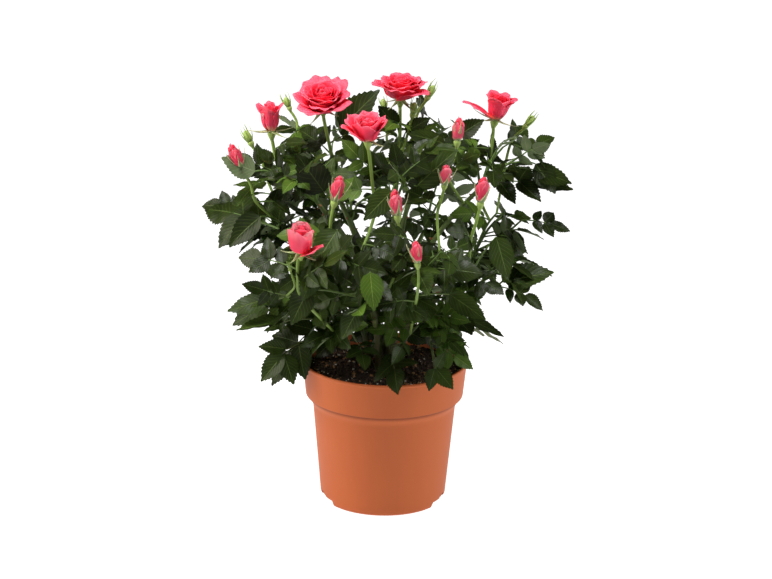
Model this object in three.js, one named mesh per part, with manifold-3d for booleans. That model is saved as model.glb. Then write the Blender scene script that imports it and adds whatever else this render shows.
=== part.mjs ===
// A miniature rose bush in full bloom in a round plastic nursery pot, as a three.js model.
// Millimetres, +Z up. The origin is on the pot's axis where the pot stands; -Y is the front.
import * as THREE from 'three';
import { mergeVertices } from 'three/addons/utils/BufferGeometryUtils.js';
import Module from 'manifold-3d';

const wasm = await Module();
wasm.setup();

// pot
const POT_HEIGHT = 105;
const RIM_RADIUS = 60;
const LIP_HEIGHT = 2.4; // thicker bead round the rim
const LIP_DEPTH = 0.7;
const COLLAR_HEIGHT = 26; // the wide band below the rim
const COLLAR_FOOT_RADIUS = 57;
const SHELF_DROP = 6.5; // sloping underside of the collar
const BODY_TOP_RADIUS = 51.7;
const BASE_RADIUS = 45.4;
const BASE_ROUND = 2.4;
const WALL = 1.4;
const FLOOR = 1.8;
const NOTCH_HEIGHT = 3.6; // the two drainage notches, left and right
const NOTCH_INNER_RADIUS = 34;
const NOTCH_HALF_ANGLE = 38;
const NOTCH_STEPS = 6; // straight lengths along each of its arcs
const DRAIN_RADIUS = 2.5;
const DRAIN_RING = 40;
const DRAIN_TURN = 18; // degrees either side of a notch's middle
const POT_SIDES = 32;
const DRAIN_SIDES = 8;

// soil
const SOIL_BELOW_RIM = 8;
const SOIL_CROWN = 2.5; // how much it rises towards the middle
const SOIL_SIDES = 16;

const GAP = 0.3; // left between pieces that touch
const FINE = 0.02; // tolerances when a cut solid is tidied
const COARSE = 0.3;
const CHANNEL = 0.45; // how much wider than a limb its way through a mass is
const DEGREE = Math.PI / 180;

// canes: one to each shoulder mass and one to each top mass
const CANE_FOOT_RING = 13;
const CANE_FOOT_RADIUS = 2.6;
const CANE_TIP_RADIUS = 1.5;
const BOUGH_RADIUS = 1.6;
const BOUGH_TIP_RADIUS = 1.1;
const BOUGH_FORK = 0.45; // how far up its cane a bough forks off
const BESIDE = 20; // degrees round from its cane that a bough looks for its mass
const INNER_SPREAD = 0.42; // the inner canes' feet stand closer in, turned by this shift
const INNER_SHIFT = 25;
const CANE_SINK = 12; // how far a cane starts below the soil's surface
const CANE_STAND = 18; // how high it stands upright before it leans
const CANE_SIDES = 5;
const KNEE_RISE = 8; // a cane climbs first and leans out later
const KNEE_PULL = 0.14;
const CANE_RINGS = 4;
const BOUGH_RINGS = 2;
const BOUGH_SAG = 2;
const LIMB_DEPTH = 0.62; // a limb aims for this share of its mass's half width, short of the centre

// foliage masses, tier by tier: each is an uneven lump, longest away from the axis
const TIERS = [
  { name: 'skirt', count: 5, first: -126, ring: 40, height: 128, size: [29, 26, 18], wide: 0.1 },
  { name: 'waist', count: 6, first: -150, ring: 67, height: 166, size: [37, 34, 25], wide: 0.08 },
  { name: 'shoulder', count: 6, first: -180, ring: 72, height: 212, size: [37, 35, 27], wide: 0.14 },
  { name: 'top', count: 5, first: -150, ring: 44, height: 248, size: [33, 30, 21], wide: 0.7 },
];
const TILT_OUT = { skirt: -10, waist: 4, shoulder: 14, top: 12 }; // degrees masses rise outwards
const MASS_DETAIL = { skirt: 1, waist: 2, shoulder: 2, top: 1 }; // subdivisions of the lumps
const LUMPINESS = 0.2;
const MASS_POINT = 0.25; // how much narrower its far end is

// outlying sprays of leaves: turn round the axis, then the tip's radius and height
const SPRAYS = [
  { name: 'left_high', turn: 182, reach: 136, height: 217, length: 50, width: 17, rise: 6 },
  { name: 'left_low', turn: 188, reach: 113, height: 137, length: 52, width: 18, rise: -18 },
  { name: 'left_foot', turn: 196, reach: 94, height: 99, length: 54, width: 16, rise: -38 },
  { name: 'right_high', turn: 3, reach: 130, height: 238, length: 50, width: 17, rise: 3 },
  { name: 'right_middle', turn: -4, reach: 120, height: 178, length: 50, width: 17, rise: -6 },
  { name: 'right_low', turn: -14, reach: 88, height: 139, length: 44, width: 17, rise: 0 },
  { name: 'front_foot', turn: -82, reach: 74, height: 109, length: 40, width: 16, rise: -16 },
  { name: 'front_left', turn: -116, reach: 116, height: 196, length: 46, width: 17, rise: -4 },
  { name: 'back_left', turn: 118, reach: 118, height: 190, length: 48, width: 17, rise: 2 },
  { name: 'back_right', turn: 62, reach: 118, height: 226, length: 48, width: 17, rise: 10 },
];
const SPRAY_THICKNESS = 5;
const SPRAY_POINT = 0.35;
const SPRAY_LUMPINESS = 0.07;

// blooms: place of the cup's foot, radius, height, lean from upright and which way it leans
const BLOOMS = [
  { name: 'full_left', at: [-46, -6, 289], radius: 22.5, height: 24, lean: 22, towards: -95, open: 1 },
  { name: 'full_right', at: [8, 26, 292], radius: 20.5, height: 17, lean: 4, towards: -60, open: 1 },
  { name: 'half_middle', at: [-15, -58, 282], radius: 15, height: 20, lean: 8, towards: -90, open: 0.7 },
  { name: 'half_right', at: [70, 10, 280], radius: 14.5, height: 21, lean: 10, towards: 20, open: 0.6 },
  { name: 'tall_left', at: [-82, -10, 275], radius: 8.6, height: 23, lean: 5, towards: 190, open: 0.35 },
  { name: 'cup_front', at: [-60, -95, 214], radius: 11, height: 25, lean: 6, towards: -80, open: 0.3 },
];
const BLOOM_RUFFLE = 0.09;
const BLOOM_SIDES = 12; // three to each of the scallops round the cup
const SCALLOPS = 4;
const STALK_RADIUS = 1.5;
const STALK_DROP = [42, 42, 40, 36, 34, 36]; // how far below each bloom its stalk starts
const STALK_PULL = 0.16; // how far towards the axis it starts, of the bloom's own distance
const STALK_BOW = 0.03;
const STALK_SEAT = 2; // how far it runs up into the cup

const materials = {
  terracotta: new THREE.MeshStandardMaterial({ color: 0xc4683e, roughness: 0.48, metalness: 0 }),
  peat: new THREE.MeshStandardMaterial({ color: 0x2a1a12, roughness: 0.95, metalness: 0 }),
  cane: new THREE.MeshStandardMaterial({ color: 0x4f6a2c, roughness: 0.6, metalness: 0 }),
  leaf: new THREE.MeshStandardMaterial({ color: 0x2c4a2a, roughness: 0.5, metalness: 0 }),
  petal: new THREE.MeshStandardMaterial({ color: 0xe8415f, roughness: 0.6, metalness: 0 }),
};

// closed geometry to manifold solid and back
function toSolid(geometry) {
  geometry.deleteAttribute('normal');
  geometry.deleteAttribute('uv');
  const merged = mergeVertices(geometry, 1e-4);
  const mesh = new wasm.Mesh({
    numProp: 3,
    vertProperties: new Float32Array(merged.attributes.position.array),
    triVerts: new Uint32Array(merged.index.array),
  });
  return new wasm.Manifold(mesh);
}

function toGeometry(solid) {
  const mesh = solid.getMesh();
  const geometry = new THREE.BufferGeometry();
  geometry.setAttribute('position', new THREE.BufferAttribute(mesh.vertProperties, 3));
  geometry.setIndex(new THREE.BufferAttribute(mesh.triVerts, 1));
  geometry.computeVertexNormals();
  return geometry;
}

// the largest body left after a cut, smoothed of slivers up to a tolerance
function mainBody(solid, tolerance) {
  const bodies = solid.decompose();
  bodies.sort((a, b) => b.volume() - a.volume());
  return bodies[0].simplify(tolerance);
}

function polar(radius, degrees, height) {
  const angle = degrees * DEGREE;
  return new THREE.Vector3(radius * Math.cos(angle), radius * Math.sin(angle), height);
}

// a solid of revolution about +Z from [radius, height] pairs that start and end on the axis
function turned(profile, sides) {
  const points = profile.map(([radius, height]) => new THREE.Vector2(radius, height));
  const geometry = new THREE.LatheGeometry(points, sides);
  geometry.rotateX(Math.PI / 2);
  return toSolid(geometry);
}

// a block bent round the axis, between two radii, two heights and either side of an angle
function ringBlock(inner, outer, low, high, middle, halfAngle) {
  const start = (middle - halfAngle) * DEGREE;
  const end = (middle + halfAngle) * DEGREE;
  const shape = new THREE.Shape();
  shape.absarc(0, 0, outer, start, end, false);
  shape.absarc(0, 0, inner, end, start, true);
  shape.closePath();
  const settings = { depth: high - low, bevelEnabled: false, curveSegments: NOTCH_STEPS };
  const geometry = new THREE.ExtrudeGeometry(shape, settings);
  geometry.translate(0, 0, low);
  return toSolid(geometry);
}

// a tapering limb along a curve: a cylinder whose rings are carried onto the curve
function limb(curve, footRadius, tipRadius, rings) {
  const geometry = new THREE.CylinderGeometry(tipRadius, footRadius, 1, CANE_SIDES, rings);
  geometry.translate(0, 0.5, 0);
  const position = geometry.attributes.position;
  const side = new THREE.Vector3();
  const across = new THREE.Vector3();
  const reference = new THREE.Vector3(0.31, 0.95, 0.05);
  for (let i = 0; i < position.count; i += 1) {
    const along = THREE.MathUtils.clamp(position.getY(i), 0, 1);
    const tangent = curve.getTangent(along);
    side.crossVectors(reference, tangent).normalize();
    across.crossVectors(tangent, side);
    const point = curve.getPoint(along);
    point.addScaledVector(side, position.getX(i));
    point.addScaledVector(across, -position.getZ(i));
    position.setXYZ(i, point.x, point.y, point.z);
  }
  return toSolid(geometry);
}

// slow waves over a direction, for an uneven skin; every seed gives another lump
function waves(direction, seed) {
  const a = Math.sin(3.1 * direction.x + 1.7 * direction.y + 2.3 * seed);
  const b = Math.sin(2.9 * direction.y - 2.2 * direction.z + 4.1 * seed);
  const c = Math.sin(5.3 * direction.z + 3.7 * direction.x - 1.9 * seed);
  const d = Math.sin(6.1 * direction.y + 4.3 * direction.x + 5.7 * seed);
  return (a + b + 0.7 * c + 0.6 * d) / 2.2;
}

// an uneven ellipsoid lump, grown by an allowance when it is used to cut its neighbours
function lump(spec, grow) {
  const geometry = new THREE.IcosahedronGeometry(1, spec.detail);
  const position = geometry.attributes.position;
  const direction = new THREE.Vector3();
  for (let i = 0; i < position.count; i += 1) {
    direction.fromBufferAttribute(position, i).normalize();
    const swell = 1 + spec.uneven * waves(direction, spec.seed);
    const narrow = 1 - spec.point * Math.max(0, direction.x) ** 2;
    const x = direction.x * (spec.size[0] * swell + grow);
    const y = direction.y * (spec.size[1] * swell * narrow + grow);
    const z = direction.z * (spec.size[2] * swell * narrow + grow);
    position.setXYZ(i, x, y, z);
  }
  geometry.rotateY(-spec.rise * DEGREE);
  geometry.rotateZ(spec.turn * DEGREE);
  geometry.translate(spec.centre.x, spec.centre.y, spec.centre.z);
  return toSolid(geometry);
}

// how far a solid reaches from a point along a direction
function reachAlong(solid, from, direction) {
  const vertices = solid.getMesh().vertProperties;
  const point = new THREE.Vector3();
  let reach = 0;
  for (let i = 0; i < vertices.length; i += 3) {
    point.fromArray(vertices, i).sub(from);
    reach = Math.max(reach, point.dot(direction));
  }
  return reach;
}

// masses that run into each other are parted by a plane across the middle of what they share
function partingPlanes(specs) {
  const solids = specs.map((spec) => lump(spec, 0));
  const planes = specs.map(() => []);
  for (let i = 0; i < specs.length; i += 1) {
    for (let j = i + 1; j < specs.length; j += 1) {
      if (solids[i].intersect(solids[j]).isEmpty()) {
        continue;
      }
      const away = specs[j].centre.clone().sub(specs[i].centre);
      const distance = away.length();
      away.normalize();
      const reach = reachAlong(solids[i], specs[i].centre, away);
      const back = reachAlong(solids[j], specs[j].centre, away.clone().negate());
      const middle = (reach + distance - back) / 2;
      const offset = away.dot(specs[i].centre) + middle;
      planes[i].push({ normal: away.clone().negate(), offset: -offset });
      planes[j].push({ normal: away, offset });
    }
  }
  return planes;
}

function partedLump(spec, grow) {
  let solid = lump(spec, grow);
  for (const { normal, offset } of spec.planes) {
    solid = solid.trimByPlane(normal.toArray(), offset + GAP / 2 - grow);
  }
  return solid;
}

// pot: one turned shell, with a raised step over each drainage notch
function buildPot() {
  const collarFoot = POT_HEIGHT - COLLAR_HEIGHT;
  const bodyTop = collarFoot - SHELF_DROP;
  const lipFoot = POT_HEIGHT - LIP_HEIGHT;
  const profile = [
    [0, 0],
    [BASE_RADIUS - BASE_ROUND, 0],
    [BASE_RADIUS - 0.3 * BASE_ROUND, 0.3 * BASE_ROUND],
    [BASE_RADIUS, BASE_ROUND],
    [BODY_TOP_RADIUS, bodyTop],
    [COLLAR_FOOT_RADIUS, collarFoot],
    [RIM_RADIUS - LIP_DEPTH, lipFoot],
    [RIM_RADIUS, lipFoot + 0.4],
    [RIM_RADIUS, POT_HEIGHT - 0.6],
    [RIM_RADIUS - 0.6, POT_HEIGHT],
    [RIM_RADIUS - WALL - LIP_DEPTH, POT_HEIGHT],
    [COLLAR_FOOT_RADIUS - WALL, collarFoot + 1],
    [BODY_TOP_RADIUS - WALL, bodyTop + 1],
    [BASE_RADIUS - WALL, FLOOR + 1],
    [BASE_RADIUS - WALL - 1, FLOOR],
    [0, FLOOR],
  ];
  const stepTop = NOTCH_HEIGHT + FLOOR;
  let pot = turned(profile, POT_SIDES);
  for (const middle of [0, 180]) {
    const stepOuter = BASE_RADIUS - 0.5 * WALL;
    const stepInner = NOTCH_INNER_RADIUS - WALL;
    const step = ringBlock(stepInner, stepOuter, 0.5, stepTop, middle, NOTCH_HALF_ANGLE + 2);
    pot = pot.add(step);
  }
  for (const middle of [0, 180]) {
    const notch = ringBlock(NOTCH_INNER_RADIUS, RIM_RADIUS, -1, NOTCH_HEIGHT, middle, NOTCH_HALF_ANGLE);
    pot = pot.subtract(notch);
    for (const aside of [-DRAIN_TURN, DRAIN_TURN]) {
      const drain = new THREE.CylinderGeometry(DRAIN_RADIUS, DRAIN_RADIUS, 4 * FLOOR, DRAIN_SIDES);
      drain.rotateX(Math.PI / 2);
      const place = polar(DRAIN_RING, middle + aside, stepTop);
      drain.translate(place.x, place.y, place.z);
      pot = pot.subtract(toSolid(drain));
    }
  }
  return mainBody(pot, FINE);
}

// soil: fills the pot to a little below the rim, a shade higher in the middle
function buildSoil() {
  const collarFoot = POT_HEIGHT - COLLAR_HEIGHT;
  const bodyTop = collarFoot - SHELF_DROP;
  const surface = POT_HEIGHT - SOIL_BELOW_RIM;
  const skin = WALL + GAP;
  const inRim = RIM_RADIUS - skin - LIP_DEPTH;
  const slope = (RIM_RADIUS - COLLAR_FOOT_RADIUS) / COLLAR_HEIGHT;
  const profile = [
    [0, FLOOR + GAP],
    [BASE_RADIUS - skin - 1.3, FLOOR + GAP],
    [BASE_RADIUS - skin, FLOOR + 1.3],
    [BODY_TOP_RADIUS - skin, bodyTop + 1.2],
    [COLLAR_FOOT_RADIUS - skin, collarFoot + 1.4],
    [inRim - slope * SOIL_BELOW_RIM - 0.4, surface],
    [0.55 * inRim, surface + 0.8 * SOIL_CROWN],
    [0, surface + SOIL_CROWN],
  ];
  let soil = turned(profile, SOIL_SIDES);
  const high = NOTCH_HEIGHT + FLOOR + GAP;
  const inner = NOTCH_INNER_RADIUS - WALL - GAP;
  for (const middle of [0, 180]) {
    soil = soil.subtract(ringBlock(inner, RIM_RADIUS, 0, high, middle, NOTCH_HALF_ANGLE + 3));
  }
  return soil;
}

// every foliage mass: tiers of lumps standing round the axis, set wider to the sides
function massSpecs() {
  const specs = [];
  TIERS.forEach((tier, level) => {
    for (let i = 0; i < tier.count; i += 1) {
      const seed = 7 * level + 3 * i + 1;
      const turn = tier.first + (360 / tier.count) * i + 7 * Math.sin(5 * seed);
      const sideways = 1 + tier.wide * Math.cos(turn * DEGREE) ** 2;
      const ring = tier.ring * sideways * (1 + 0.05 * Math.sin(3 * seed));
      const height = tier.height + 6 * Math.sin(2.3 * seed);
      const scale = 1 + 0.08 * Math.sin(4.1 * seed);
      specs.push({
        name: `foliage_${tier.name}_${i + 1}`,
        tier: tier.name,
        centre: polar(ring, turn, height),
        size: tier.size.map((s) => s * scale),
        turn,
        rise: TILT_OUT[tier.name],
        point: MASS_POINT,
        uneven: LUMPINESS,
        detail: MASS_DETAIL[tier.name],
        seed,
      });
    }
  });
  return specs;
}

// an outlying spray: a thin pointed pad that lies outwards from its mass to its tip
function spraySpec(spray, index) {
  const tip = polar(spray.reach, spray.turn, spray.height);
  const inward = polar(1, spray.turn, 0).multiplyScalar(-Math.cos(spray.rise * DEGREE));
  inward.z = -Math.sin(spray.rise * DEGREE);
  return {
    name: `spray_${spray.name}`,
    centre: tip.addScaledVector(inward, spray.length / 2),
    size: [spray.length / 2, spray.width, SPRAY_THICKNESS / 2],
    turn: spray.turn,
    rise: spray.rise,
    point: SPRAY_POINT,
    uneven: SPRAY_LUMPINESS,
    detail: 1,
    seed: 11 + index,
  };
}

// a bloom: an open or closed cup of petals as one solid, with a scalloped edge
function bloomSolid(bloom, grow) {
  const { radius, height, open } = bloom;
  const mouth = radius + grow;
  const profile = [
    [0, -grow],
    [0.3 * mouth, -grow],
    [THREE.MathUtils.lerp(0.86, 0.74, open) * mouth, 0.28 * height - grow],
    [THREE.MathUtils.lerp(1.0, 0.99, open) * mouth, 0.52 * height],
    [THREE.MathUtils.lerp(0.88, 0.95, open) * mouth, 0.78 * height + grow],
    [0.6 * mouth, height + grow],
    [0, height + grow],
  ];
  const points = profile.map(([r, h]) => new THREE.Vector2(r, h));
  const geometry = new THREE.LatheGeometry(points, BLOOM_SIDES);
  geometry.rotateX(Math.PI / 2);
  const position = geometry.attributes.position;
  for (let i = 0; i < position.count; i += 1) {
    const x = position.getX(i);
    const y = position.getY(i);
    const scallop = 1 + BLOOM_RUFFLE * Math.cos(SCALLOPS * Math.atan2(y, x)) * (position.getZ(i) / height);
    position.setXYZ(i, x * scallop, y * scallop, position.getZ(i));
  }
  const axis = polar(1, bloom.towards + 90, 0);
  const lean = new THREE.Matrix4().makeRotationAxis(axis, bloom.lean * DEGREE);
  geometry.applyMatrix4(lean);
  geometry.translate(...bloom.at);
  return toSolid(geometry);
}

// the green stalk under a bloom, from inside its foliage up to the cup
function stalkCurve(bloom, drop) {
  const head = new THREE.Vector3(...bloom.at);
  const foot = new THREE.Vector3(head.x * (1 - STALK_PULL), head.y * (1 - STALK_PULL), head.z - drop);
  const middle = foot.clone().lerp(head, 0.55);
  middle.x += STALK_BOW * (head.x - foot.x);
  head.z += STALK_SEAT;
  return new THREE.CatmullRomCurve3([foot, middle, head]);
}

// where a limb ends: a little inside the near side of a mass, seen from where the limb comes
function entry(from, mass) {
  const inward = mass.centre.clone().sub(from).normalize();
  const depth = LIMB_DEPTH * Math.min(mass.size[0], mass.size[1]);
  return mass.centre.clone().addScaledVector(inward, -depth);
}

// the canes: a curved stem from the soil to its mass, with boughs to the masses it passes
function caneCurve(mass, turn, spread) {
  const foot = polar(CANE_FOOT_RING * spread, turn, POT_HEIGHT - SOIL_BELOW_RIM - CANE_SINK);
  const above = foot.clone();
  above.z += CANE_SINK + CANE_STAND;
  const end = entry(above, mass);
  const knee = above.clone().lerp(end, 0.5);
  knee.z += KNEE_RISE;
  knee.x -= KNEE_PULL * end.x;
  knee.y -= KNEE_PULL * end.y;
  return new THREE.CatmullRomCurve3([foot, above, knee, end]);
}

function boughCurve(cane, at, mass) {
  const foot = cane.getPoint(at);
  const end = entry(foot, mass);
  const middle = foot.clone().lerp(end, 0.5);
  middle.z -= BOUGH_SAG;
  return new THREE.CatmullRomCurve3([foot, middle, end]);
}

function nearest(masses, turn) {
  const away = (mass) => Math.abs(((mass.turn - turn + 540) % 360) - 180);
  return [...masses].sort((a, b) => away(a) - away(b))[0];
}

const rose = new THREE.Group();
rose.name = 'potted_rose_bush';

function addPiece(name, solid, material) {
  const mesh = new THREE.Mesh(toGeometry(solid), material);
  mesh.name = name;
  rose.add(mesh);
}

const pot = buildPot();
const soil = buildSoil();
const masses = massSpecs();
partingPlanes(masses).forEach((planes, i) => {
  masses[i].planes = planes;
});
const inTier = (name) => masses.filter((mass) => mass.tier === name);

// limbs: each ends on the mass it bears, and a thicker copy of it clears its way past the rest
const limbs = [];
function addLimb(name, curve, footRadius, tipRadius, rings, host) {
  const cutter = limb(curve, footRadius + CHANNEL, tipRadius + CHANNEL, rings);
  const whole = limb(curve, footRadius, tipRadius, rings);
  const solid = mainBody(whole.subtract(partedLump(host, GAP)), FINE);
  const piece = { name, curve, solid, cutter, host };
  limbs.push(piece);
  return piece;
}

function wayPast(mass) {
  const passing = limbs.filter((piece) => piece.host !== mass);
  return passing.map((piece) => piece.cutter);
}

const outerCanes = inTier('shoulder').map((mass, i) => {
  const curve = caneCurve(mass, mass.turn, 1);
  return addLimb(`cane_outer_${i + 1}`, curve, CANE_FOOT_RADIUS, CANE_TIP_RADIUS, CANE_RINGS, mass);
});
inTier('top').forEach((mass, i) => {
  const curve = caneCurve(mass, mass.turn + INNER_SHIFT, INNER_SPREAD);
  addLimb(`cane_inner_${i + 1}`, curve, CANE_FOOT_RADIUS, CANE_TIP_RADIUS, CANE_RINGS, mass);
});

// a bough forks off each outer cane to the waist mass beside it
outerCanes.forEach((cane, i) => {
  const mass = nearest(inTier('waist'), cane.host.turn + BESIDE);
  const curve = boughCurve(cane.curve, BOUGH_FORK, mass);
  const name = `bough_${i + 1}`;
  const bough = addLimb(name, curve, BOUGH_RADIUS, BOUGH_TIP_RADIUS, BOUGH_RINGS, mass);
  bough.solid = mainBody(bough.solid.subtract(cane.cutter), FINE);
});

// flowers: a stalk that rises from the nearest mass and the cup of petals on it
const flowers = BLOOMS.map((bloom, i) => {
  const curve = stalkCurve(bloom, STALK_DROP[i]);
  const foot = curve.getPoint(0);
  const host = [...masses].sort((a, b) => a.centre.distanceTo(foot) - b.centre.distanceTo(foot))[0];
  const name = `flower_${bloom.name}`;
  const stalk = addLimb(name, curve, STALK_RADIUS, STALK_RADIUS, BOUGH_RINGS, host);
  stalk.solid = mainBody(stalk.solid.add(bloomSolid(bloom, 0)), FINE);
  return stalk;
});

const potCut = turned(
  [
    [0, -1],
    [RIM_RADIUS + GAP, -1],
    [RIM_RADIUS + GAP, POT_HEIGHT + GAP],
    [0, POT_HEIGHT + GAP],
  ],
  POT_SIDES,
);

addPiece('pot', pot, materials.terracotta);
const rootRoom = wayPast(null).reduce((room, cutter) => room.subtract(cutter), soil);
addPiece('soil', mainBody(rootRoom, FINE), materials.peat);
for (const piece of limbs) {
  addPiece(piece.name, piece.solid, flowers.includes(piece) ? materials.petal : materials.cane);
}

// leaves: a mass clears the pot, the blooms and every limb that goes on past it
const blooms = BLOOMS.map((bloom) => bloomSolid(bloom, GAP));
const noEntry = blooms.reduce((whole, bloom) => whole.add(bloom), potCut);
for (const spec of masses) {
  const cleared = wayPast(spec).reduce((rest, cutter) => rest.subtract(cutter), partedLump(spec, 0));
  addPiece(spec.name, mainBody(cleared.subtract(noEntry), COARSE), materials.leaf);
}

// and a spray ends on the masses it grows from
const leafy = masses.reduce((whole, spec) => whole.add(partedLump(spec, 2 * GAP)), noEntry);
const sprayRoom = wayPast(null).reduce((whole, cutter) => whole.add(cutter), leafy);
SPRAYS.forEach((spray, i) => {
  const spec = spraySpec(spray, i);
  const outer = lump(spec, 0).subtract(sprayRoom);
  addPiece(spec.name, mainBody(outer, COARSE), materials.leaf);
});

export default rose;
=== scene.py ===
import math
import random
import bmesh
import bpy
import numpy as np
from mathutils import Matrix, Vector


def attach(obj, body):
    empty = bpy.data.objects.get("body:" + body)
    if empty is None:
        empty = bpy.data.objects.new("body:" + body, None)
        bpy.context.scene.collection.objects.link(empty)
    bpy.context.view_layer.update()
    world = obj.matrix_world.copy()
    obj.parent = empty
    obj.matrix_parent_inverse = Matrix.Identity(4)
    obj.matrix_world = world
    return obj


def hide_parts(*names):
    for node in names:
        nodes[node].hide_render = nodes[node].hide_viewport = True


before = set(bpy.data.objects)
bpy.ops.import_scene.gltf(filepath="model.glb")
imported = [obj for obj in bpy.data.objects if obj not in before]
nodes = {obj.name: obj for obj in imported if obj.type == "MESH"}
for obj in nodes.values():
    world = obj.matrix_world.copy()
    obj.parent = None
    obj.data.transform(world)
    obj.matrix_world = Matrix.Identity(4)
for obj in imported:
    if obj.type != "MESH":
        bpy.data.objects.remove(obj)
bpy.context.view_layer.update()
mm = 0.001
skyward = Vector((0, 0, 1))
toFront = Vector((0, -1, 0))
scene = bpy.context.scene
print("frame loaded,", len(nodes), "nodes")


# a socket that takes part in plain sums, each of which adds a Math node
class Value:
    def __init__(self, shade, socket):
        self.shade = shade
        self.socket = socket

    def math(self, operation, *others, clamp=False):
        inputs = dict(enumerate((self,) + others))
        return self.shade.node("Math", {"operation": operation, "use_clamp": clamp}, inputs)

    def flipped(self, operation, other):
        return self.shade.node("Math", {"operation": operation}, {0: other, 1: self})

    def __add__(self, other):
        return self.math("ADD", other)

    def __sub__(self, other):
        return self.math("SUBTRACT", other)

    def __rsub__(self, other):
        return self.flipped("SUBTRACT", other)

    def __mul__(self, other):
        return self.math("MULTIPLY", other)

    def __abs__(self):
        return self.math("ABSOLUTE")

    __radd__ = __add__
    __rmul__ = __mul__

    # 0 below one value and 1 above the other, eased between, or the other way round
    def step(self, low, high):
        if low < high:
            return self.rise(low, high, 0.0, 1.0)
        return self.rise(high, low, 1.0, 0.0)

    def rise(self, low, high, start, end):
        inputs = {"Value": self, "From Min": low, "From Max": high, "To Min": start, "To Max": end}
        return self.shade.node("MapRange", {"interpolation_type": "SMOOTHSTEP"}, inputs)


# one material's tree, with a single method that makes any node
class Shade:
    def __init__(self, name):
        self.material = bpy.data.materials.new(name)
        self.material.use_nodes = True
        self.tree = self.material.node_tree
        self.surface = self.tree.nodes["Principled BSDF"]

    def feed(self, socket, value):
        if isinstance(value, Value):
            self.tree.links.new(value.socket, socket)
        else:
            socket.default_value = value

    def node(self, kind, settings=None, inputs=None, out=0):
        made = self.tree.nodes.new("ShaderNode" + kind)
        for key, value in (settings or {}).items():
            setattr(made, key, value)
        for key, value in (inputs or {}).items():
            self.feed(made.inputs[key], value)
        return Value(self, made.outputs[out])

    def mix(self, factor, first, second, blend="MIX"):
        settings = {"data_type": "RGBA", "blend_type": blend}
        return self.node("Mix", settings, {0: factor, 6: first, 7: second}, out=2)

    # a place on the piece, in millimetres
    def place(self, stretch=(1, 1, 1)):
        spot = self.node("TexCoord", out="Object")
        size = [s / mm for s in stretch]
        return self.node("Mapping", {"vector_type": "POINT"}, {"Vector": spot, "Scale": size})

    def axis(self, vector, letter):
        return self.node("SeparateXYZ", {}, {"Vector": vector}, out=letter)

    # a blade's own map, 0 to 1: X from foot to tip and Y across
    def bladeMap(self, letter):
        return self.axis(self.node("UVMap", {"uv_map": "blade"}), letter)

    def noise(self, vector, scale, detail=3.0, rough=0.5):
        inputs = {"Vector": vector, "Scale": scale, "Detail": detail, "Roughness": rough}
        return self.node("TexNoise", {}, inputs, out="Fac")

    def bump(self, height, strength, depth):
        inputs = {"Height": height, "Strength": strength, "Distance": depth}
        self.feed(self.surface.inputs["Normal"], self.node("Bump", {}, inputs))

    def finish(self, **values):
        for key, value in values.items():
            self.feed(self.surface.inputs[key.replace("_", " ")], value)
        return self.material


# screen colour to linear, with alpha
def tone(red, green, blue):
    def linear(c):
        c /= 255
        return c / 12.92 if c <= 0.04045 else ((c + 0.055) / 1.055) ** 2.4
    return (linear(red), linear(green), linear(blue), 1.0)


# the terracotta-coloured plastic: even colour with faint flow marks, fine grain and soft scuffs, and a
# painted shadow under the collar
plastic = {
    "light": (188, 99, 55), "deep": (175, 87, 46), "dust": (120, 72, 46), "gloss": 0.5,
    "rimSoil": (98, 104), "footSoil": (9, 0),
    # painted shadow: a darker band on the shelf just below the collar, where the collar's shade falls
    "seam": (96, 42, 20), "seamShow": 0.65, "seamFrom": (75, 78.4), "seamTo": (79.6, 79.0),
}


def potMaterial():
    shade = Shade("terracottaPlastic")
    spot = shade.place()
    flow = shade.noise(shade.place((1, 1, 0.25)), 0.035, 4.0, 0.6)
    colour = shade.mix(flow, tone(*plastic["deep"]), tone(*plastic["light"]))
    height = shade.axis(spot, "Z")
    specks = shade.noise(spot, 0.9, 4.0, 0.7).step(0.58, 0.72)
    soiled = specks * (height.step(*plastic["rimSoil"]) * 0.5 + height.step(*plastic["footSoil"]) * 0.25)
    colour = shade.mix(soiled, colour, tone(*plastic["dust"]))
    # painted shadow under the collar: darker from 75 mm up to the collar foot at 79 mm
    seam = height.step(*plastic["seamFrom"]) * height.step(*plastic["seamTo"]) * plastic["seamShow"]
    colour = shade.mix(seam, colour, tone(*plastic["seam"]))
    grain = shade.noise(spot, 2.6, 2.0)
    rings = height.math("MULTIPLY", 5.2).math("SINE") * 0.12
    shade.bump(grain + rings + flow * 0.6, 0.10, 0.35 * mm)
    rough = plastic["gloss"] + flow * 0.12 + soiled * 0.3
    return shade.finish(Base_Color=colour, Roughness=rough, Specular_IOR_Level=0.18)


def peatMaterial(name, light, dark, scale):
    shade = Shade(name)
    spot = shade.place()
    grain = shade.noise(spot, scale, 5.0, 0.7)
    colour = shade.mix(grain.step(0.35, 0.7), tone(*dark), tone(*light))
    shade.bump(grain, 0.6, 0.6 * mm)
    return shade.finish(Base_Color=colour, Roughness=0.93)


# stems: green skin with lengthwise fibres, redder where it has ripened
def stemMaterial(name, young, ripe, reach, relief):
    shade = Shade(name)
    spot = shade.place()
    height = shade.axis(spot, "Z")
    patches = shade.noise(spot, 0.16, 3.0, 0.6)
    age = height.step(reach[1], reach[0]) * 0.75 + patches * 0.5 - 0.2
    colour = shade.mix(age.math("ADD", 0.0, clamp=True), tone(*young), tone(*ripe))
    fibres = shade.noise(shade.place((1, 1, 0.12)), 2.4, 3.0, 0.6)
    pores = shade.noise(spot, 1.4, 1.0).step(0.68, 0.76)
    colour = shade.mix(pores * 0.35, colour, tone(150, 140, 96))
    shade.bump(fibres + pores * 0.5, relief, 0.3 * mm)
    return shade.finish(Base_Color=colour, Roughness=0.48 + fibres * 0.2)


# leaf blades: midrib and side veins follow the blade's own map, with the skin quilted between
blade = {"veins": 8.5, "slope": 0.34, "ribWidth": 0.055, "veinWidth": 0.10}


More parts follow.
